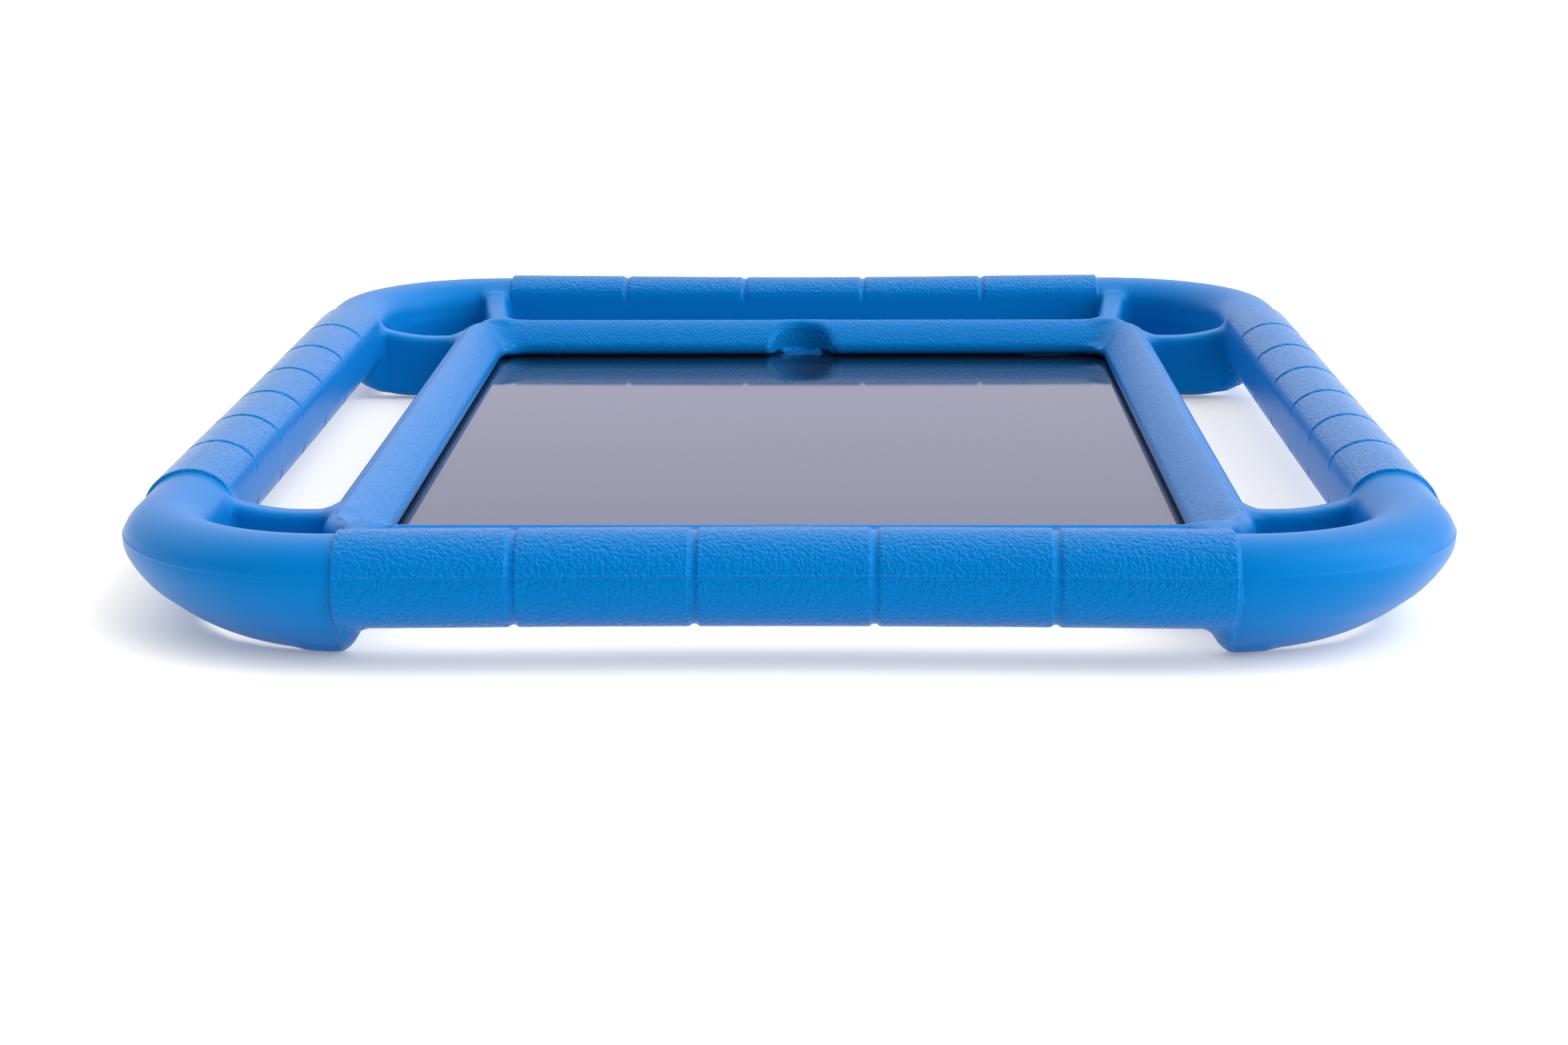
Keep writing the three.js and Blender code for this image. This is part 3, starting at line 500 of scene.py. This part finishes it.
def foam_surface():
    """The foam case's points, outward normals and quads."""
    lines = (
        lines_along_bars(SHORT_SEGMENTS, SHORT_PITCH, CASE_X + EDGE_MARGIN),
        lines_along_bars(LONG_SEGMENTS, LONG_PITCH, CASE_Y + EDGE_MARGIN),
        grid_lines(HEIGHT_SPANS),
    )
    x, y, z = np.ix_(*lines)
    field = foam_field(x, y, z).astype(np.float32)
    sums, counts, crossings = cell_sums(field, lines)
    cells = counts > 0
    numbers = np.full(counts.shape, -1, np.int64)
    numbers[cells] = np.arange(cells.sum())
    points = (sums[cells] / counts[cells][:, None]).astype(float)
    points = settle(points)
    normals = slope(points)
    normals /= np.maximum(np.linalg.norm(normals, axis=1), 1e-9)[:, None]
    return points, normals, quads_of(crossings, numbers)


def grain_of(points):
    """How strong the moulded grain is: full on the grips' outsides, finer on the inner frame's pad."""
    x, y, z = points.T
    off_inner_wall = np.clip((ring_plan(x, y) + INNER_WALL) / GRAIN_FADE - 1, 0, 1)
    on_grip = np.clip(grip_proud(x, y) / GRIP_PROUD, 0, 1) * off_inner_wall
    pad = rounded_rect(x, y, FRAME_X - PAD_INSET, FRAME_Y - PAD_INSET, FRAME_CORNER)
    on_pad = np.clip(0.5 - pad, 0, 1) * (z > LIP_Z - 1)
    return np.clip(on_grip + PAD_GRAIN * on_pad, 0, 1)


def foam_case():
    """The case's mesh with its grain, riding on the tablet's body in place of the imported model's case."""
    points, normals, quads = foam_surface()
    mesh = bpy.data.meshes.new("foam_case_moulding")
    mesh.from_pydata((points / MM).tolist(), [], quads.tolist())
    mesh.update()
    grain = mesh.attributes.new("grain", "FLOAT", "POINT")
    grain.data.foreach_set("value", grain_of(points).astype(np.float32))
    mesh.shade_smooth()
    mesh.normals_split_custom_set_from_vertices(normals.tolist())
    case = bpy.data.objects.new("foam_case_moulding", mesh)
    bpy.context.scene.collection.objects.link(case)
    mesh.materials.append(foam_material())
    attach(case, ROOT)
    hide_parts("foam_case")


# ---- Materials ----


class Nodes:
    """A short way to build a material's nodes and join them."""

    def __init__(self, name):
        self.material = bpy.data.materials.new(name)
        self.material.use_nodes = True
        self.tree = self.material.node_tree
        self.shader = self.tree.nodes["Principled BSDF"]
        self.place = self.add("ShaderNodeTexCoord").outputs["Object"]

    def add(self, kind, **values):
        node = self.tree.nodes.new(kind)
        for name, value in values.items():
            setattr(node, name, value)
        return node

    def link(self, source, target):
        self.tree.links.new(source, target)

    def set(self, **values):
        for name, value in values.items():
            self.shader.inputs[name.replace("_", " ")].default_value = value

    def noise(self, scale, detail=2.0, roughness=0.5):
        node = self.add("ShaderNodeTexNoise")
        self.link(self.place, node.inputs["Vector"])
        node.inputs["Scale"].default_value = scale
        node.inputs["Detail"].default_value = detail
        node.inputs["Roughness"].default_value = roughness
        return node.outputs["Fac"]

    def math(self, operation, a, b=0.0):
        node = self.add("ShaderNodeMath")
        node.operation = operation
        for socket, value in zip(node.inputs, (a, b)):
            if isinstance(value, (int, float)):
                socket.default_value = value
            else:
                self.link(value, socket)
        return node.outputs[0]

    def spread(self, value, at_zero, at_one):
        """The number at_zero where value is 0, at_one where it is 1, and evenly between."""
        node = self.add("ShaderNodeMapRange")
        self.link(value, node.inputs["Value"])
        node.inputs["To Min"].default_value = at_zero
        node.inputs["To Max"].default_value = at_one
        return node.outputs[0]

    def between(self, value, zero_at, one_at):
        """0 where value is zero_at, 1 where it is one_at, and held there beyond."""
        node = self.add("ShaderNodeMapRange")
        self.link(value, node.inputs["Value"])
        node.inputs["From Min"].default_value = zero_at
        node.inputs["From Max"].default_value = one_at
        return node.outputs[0]

    def colours(self, value, first, second):
        node = self.add("ShaderNodeMix", data_type="RGBA")
        self.link(value, node.inputs["Factor"])
        node.inputs["A"].default_value = (*first, 1)
        node.inputs["B"].default_value = (*second, 1)
        return node.outputs["Result"]

    def bump(self, height, distance, strength):
        node = self.add("ShaderNodeBump")
        node.inputs["Distance"].default_value = distance
        node.inputs["Strength"].default_value = strength
        self.link(height, node.inputs["Height"])
        self.link(node.outputs["Normal"], self.shader.inputs["Normal"])


def pebbles(m, scale, warp_size):
    """Small rounded bumps, bent out of shape so that they run into each other."""
    warp_scale = 0.7 * scale
    bend = m.add("ShaderNodeTexNoise")
    m.link(m.place, bend.inputs["Vector"])
    bend.inputs["Scale"].default_value = warp_scale
    bent = m.add("ShaderNodeVectorMath", operation="MULTIPLY_ADD")
    m.link(bend.outputs["Color"], bent.inputs[0])
    bent.inputs[1].default_value = (warp_size, warp_size, warp_size)
    m.link(m.place, bent.inputs[2])
    cells = m.add("ShaderNodeTexVoronoi", feature="SMOOTH_F1")
    m.link(bent.outputs[0], cells.inputs["Vector"])
    cells.inputs["Scale"].default_value = scale
    cells.inputs["Smoothness"].default_value = 0.6
    return m.math("SUBTRACT", 1.0, cells.outputs["Distance"])


def foam_material():
    """Blue moulded EVA foam: pebbled where the grain attribute is high, satin elsewhere."""
    deep_blue = (0.0004, 0.142, 0.45)
    light_blue = (0.0008, 0.168, 0.52)
    blue_glints = (0.05, 0.55, 1.0, 1.0)
    satin_share = 0.05
    lumps_share = 0.3
    grain_polish = 0.11
    m = Nodes("foam")
    grain = m.add("ShaderNodeAttribute", attribute_name="grain").outputs["Fac"]
    raised = m.math("MULTIPLY", pebbles(m, scale=1350.0, warp_size=0.0010), grain)
    satin = m.math("MULTIPLY", m.noise(scale=2600.0, detail=3.0), satin_share)
    lumps = m.math("MULTIPLY", m.noise(scale=90.0), lumps_share)
    height = m.math("ADD", m.math("ADD", raised, satin), lumps)
    m.bump(height, distance=0.00034, strength=0.95)
    tone = m.noise(scale=14.0, detail=4.0, roughness=0.6)
    m.link(m.colours(tone, deep_blue, light_blue), m.shader.inputs["Base Color"])
    uneven = m.spread(m.noise(scale=60.0, detail=3.0), at_zero=0.31, at_one=0.40)
    smoother = m.math("MULTIPLY", grain, grain_polish)
    m.link(m.math("SUBTRACT", uneven, smoother), m.shader.inputs["Roughness"])
    m.set(IOR=1.36, Specular_Tint=blue_glints)
    return m.material


def glass_material():
    """The cover glass, dark behind: a black border round the switched-off display, and faint smears."""
    shown_x = panel_high.x - 0.0008
    shown_y = panel_high.y - 0.0015
    edge_half = 0.0001
    display = (0.010, 0.011, 0.014)
    ink = (0.0035, 0.0035, 0.004)
    m = Nodes("cover_glass")
    apart = m.add("ShaderNodeSeparateXYZ")
    m.link(m.place, apart.inputs[0])
    beyond_x = m.math("SUBTRACT", m.math("ABSOLUTE", apart.outputs["X"]), shown_x)
    beyond_y = m.math("SUBTRACT", m.math("ABSOLUTE", apart.outputs["Y"]), shown_y)
    border = m.between(m.math("MAXIMUM", beyond_x, beyond_y), zero_at=-edge_half, one_at=edge_half)
    m.link(m.colours(border, display, ink), m.shader.inputs["Base Color"])
    smear = m.noise(scale=22.0, detail=5.0, roughness=0.62)
    m.link(m.spread(smear, at_zero=0.015, at_one=0.075), m.shader.inputs["Roughness"])
    m.set(IOR=1.52)
    return m.material


def metal_material(name, colour, roughness):
    """Metal with a fine, slightly uneven surface."""
    darker = tuple(c * 0.9 for c in colour)
    m = Nodes(name)
    tone = m.noise(scale=60.0, detail=3.0)
    m.link(m.colours(tone, darker, colour), m.shader.inputs["Base Color"])
    uneven = m.spread(m.noise(scale=900.0), at_zero=roughness - 0.05, at_one=roughness + 0.08)
    m.link(uneven, m.shader.inputs["Roughness"])
    m.set(Metallic=1.0)
    m.bump(m.noise(scale=5000.0), distance=0.00002, strength=0.35)
    return m.material


def plastic_material(name, colour, roughness):
    """Moulded plastic or film with a fine grain."""
    lighter = tuple(min(1.0, c * 1.25 + 0.002) for c in colour)
    m = Nodes(name)
    tone = m.noise(scale=120.0, detail=3.0)
    m.link(m.colours(tone, colour, lighter), m.shader.inputs["Base Color"])
    uneven = m.spread(m.noise(scale=400.0), at_zero=roughness - 0.04, at_one=roughness + 0.06)
    m.link(uneven, m.shader.inputs["Roughness"])
    m.bump(m.noise(scale=3000.0), distance=0.00002, strength=0.4)
    return m.material


def mesh_grille_material():
    """A steel grille punched with rows of small round holes."""
    plate = (0.32, 0.32, 0.33)
    dark = (0.006, 0.006, 0.007)
    m = Nodes("speaker_mesh")
    dots = m.add("ShaderNodeTexVoronoi", feature="F1")
    m.link(m.place, dots.inputs["Vector"])
    dots.inputs["Scale"].default_value = 1300.0
    dots.inputs["Randomness"].default_value = 0.0
    hole = m.between(dots.outputs["Distance"], zero_at=0.34, one_at=0.28)
    m.link(m.colours(hole, plate, dark), m.shader.inputs["Base Color"])
    m.link(m.spread(hole, at_zero=0.9, at_one=0.0), m.shader.inputs["Metallic"])
    m.set(Roughness=0.4)
    return m.material


def give(material, *nodes):
    """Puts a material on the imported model's own nodes."""
    for node in nodes:
        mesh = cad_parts[node].data
        mesh.materials.clear()
        mesh.materials.append(material)


def dress_the_tablet():
    """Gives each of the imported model's nodes a procedural material of its own kind."""
    aluminium = metal_material("aluminium", (0.66, 0.67, 0.69), roughness=0.34)
    steel = metal_material("plated_steel", (0.52, 0.52, 0.54), roughness=0.26)
    black = plastic_material("black_plastic", (0.012, 0.012, 0.013), roughness=0.42)
    gloss = plastic_material("gloss_black", (0.006, 0.006, 0.007), roughness=0.12)
    board = plastic_material("circuit_board", (0.010, 0.075, 0.045), roughness=0.38)
    foil = plastic_material("battery_foil", (0.045, 0.048, 0.052), roughness=0.34)
    film = plastic_material("flex_film", (0.42, 0.17, 0.03), roughness=0.3)
    clear = plastic_material("clear_film", (0.30, 0.31, 0.32), roughness=0.15)
    display = plastic_material("display", (0.014, 0.015, 0.019), roughness=0.2)
    give(glass_material(), "cover_glass")
    give(aluminium, "rear_housing", "rear_camera_ring")
    give(aluminium, "power_button", "volume_up_button", "volume_down_button")
    give(gloss, "home_button", "rear_camera_lens")
    give(mesh_grille_material(), "speaker_grille_left", "speaker_grille_right")
    give(clear, "touch_digitizer")
    give(display, "display_panel")
    give(board, "logic_board")
    give(foil, "battery_left", "battery_right")
    give(film, "digitizer_flex_cable", "display_flex_cable", "battery_cable")
    give(film, "antenna_left", "antenna_right")
    plastic_nodes = [
        "glass_gasket", "display_carrier", "front_camera", "light_sensor", "rear_camera",
        "headphone_jack", "speaker_left", "speaker_right", "microphone",
    ]
    steel_nodes = [
        "display_backlight", "home_button_switch", "home_button_bracket", "power_switch",
        "volume_up_switch", "volume_down_switch", "processor_shield", "memory_shield", "charge_port",
    ]
    screws = [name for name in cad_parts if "_screw_" in name]
    give(black, *plastic_nodes)
    give(steel, *steel_nodes, *screws)


# ---- Floor, light and camera ----

# Brightness of the surroundings, from the front to the back (0 to 1) and from below to above (0 to 1).
# Up to the horizon stops a plain white takes their place, so that low views have a white background.
HORIZON_WHITE = (1.02, 1.02, 1.02)
HORIZON_STOPS = [(0.56, (1.0, 1.0, 1.0)), (0.575, (0.0, 0.0, 0.0))]
BACK_STOPS = [
    (0.0, (0.16, 0.16, 0.16)),
    (0.30, (0.28, 0.28, 0.28)),
    (0.52, (0.95, 0.95, 0.95)),
    (0.75, (1.0, 1.0, 1.0)),
]
UP_STOPS = [
    (0.5, (1.10, 1.09, 1.40)),
    (0.62, (0.98, 0.97, 1.27)),
    (0.70, (1.05, 1.05, 1.05)),
    (0.86, (1.75, 1.73, 1.68)),
]


def floor():
    """A wide white studio table that glows faintly."""
    half = 6.0
    warm_white = (0.90, 0.875, 0.825)
    lighter_white = (0.92, 0.895, 0.845)
    corners = [(-half, -half, 0), (half, -half, 0), (half, half, 0), (-half, half, 0)]
    mesh = bpy.data.meshes.new("floor")
    mesh.from_pydata(corners, [], [(0, 1, 2, 3)])
    plane = bpy.data.objects.new("floor", mesh)
    bpy.context.scene.collection.objects.link(plane)
    m = Nodes("floor")
    m.link(m.colours(m.noise(scale=3.0), warm_white, lighter_white), m.shader.inputs["Base Color"])
    m.set(Roughness=0.9)
    m.shader.inputs["Specular IOR Level"].default_value = 0.0
    m.shader.inputs["Emission Color"].default_value = (1, 0.97, 0.92, 1)
    m.shader.inputs["Emission Strength"].default_value = 0.22
    mesh.materials.append(m.material)


def key_light():
    """A wide soft light from the upper right, a little in front."""
    towards_light = Vector((0.84, -0.28, 0.46))
    light = bpy.data.lights.new("key", "SUN")
    light.energy = 3.0
    light.angle = math.radians(80)
    lamp = bpy.data.objects.new("key", light)
    bpy.context.scene.collection.objects.link(lamp)
    lamp.rotation_euler = towards_light.to_track_quat("Z", "Y").to_euler()


def ramp(tree, value, stops):
    """A colour that changes with a direction's share along an axis, from -1 to 1."""
    place = tree.nodes.new("ShaderNodeMapRange")
    place.inputs["From Min"].default_value = -1.0
    tree.links.new(value, place.inputs["Value"])
    node = tree.nodes.new("ShaderNodeValToRGB")
    tree.links.new(place.outputs[0], node.inputs["Fac"])
    elements = node.color_ramp.elements
    for position, _ in stops[len(elements):]:
        elements.new(position)
    for element, (position, colour) in zip(elements, stops):
        element.position = position
        element.color = (*colour, 1)
    return node.outputs["Color"]


def world_light():
    """A white studio: bright behind and above, lilac low down behind, dim at the front, white far off."""
    world = bpy.data.worlds.new("studio")
    bpy.context.scene.world = world
    world.use_nodes = True
    tree = world.node_tree
    apart = tree.nodes.new("ShaderNodeSeparateXYZ")
    tree.links.new(tree.nodes.new("ShaderNodeTexCoord").outputs["Generated"], apart.inputs[0])
    both = tree.nodes.new("ShaderNodeVectorMath")
    both.operation = "MULTIPLY"
    tree.links.new(ramp(tree, apart.outputs["Y"], BACK_STOPS), both.inputs[0])
    tree.links.new(ramp(tree, apart.outputs["Z"], UP_STOPS), both.inputs[1])
    mix = tree.nodes.new("ShaderNodeMix")
    mix.data_type = "RGBA"
    tree.links.new(ramp(tree, apart.outputs["Z"], HORIZON_STOPS), mix.inputs["Factor"])
    tree.links.new(both.outputs[0], mix.inputs["A"])
    mix.inputs["B"].default_value = (*HORIZON_WHITE, 1)
    background = tree.nodes["Background"]
    tree.links.new(mix.outputs["Result"], background.inputs["Color"])
    background.inputs["Strength"].default_value = 1.0


def camera():
    """The view: low in front of a short side, a hair to the right of the middle."""
    lens = bpy.data.cameras.new("camera")
    lens.sensor_width = 36.0
    lens.sensor_fit = "HORIZONTAL"
    lens.lens = 71.66
    view = bpy.data.objects.new("camera", lens)
    bpy.context.scene.collection.objects.link(view)
    view.location = (0.0102, -0.7113, 0.1530)
    view.rotation_euler = (math.radians(90 - 12.92), math.radians(0.227), math.radians(1.008))
    bpy.context.scene.camera = view


camera()
floor()
key_light()
world_light()
foam_case()
dress_the_tablet()
bpy.context.scene.view_settings.view_transform = "Standard"
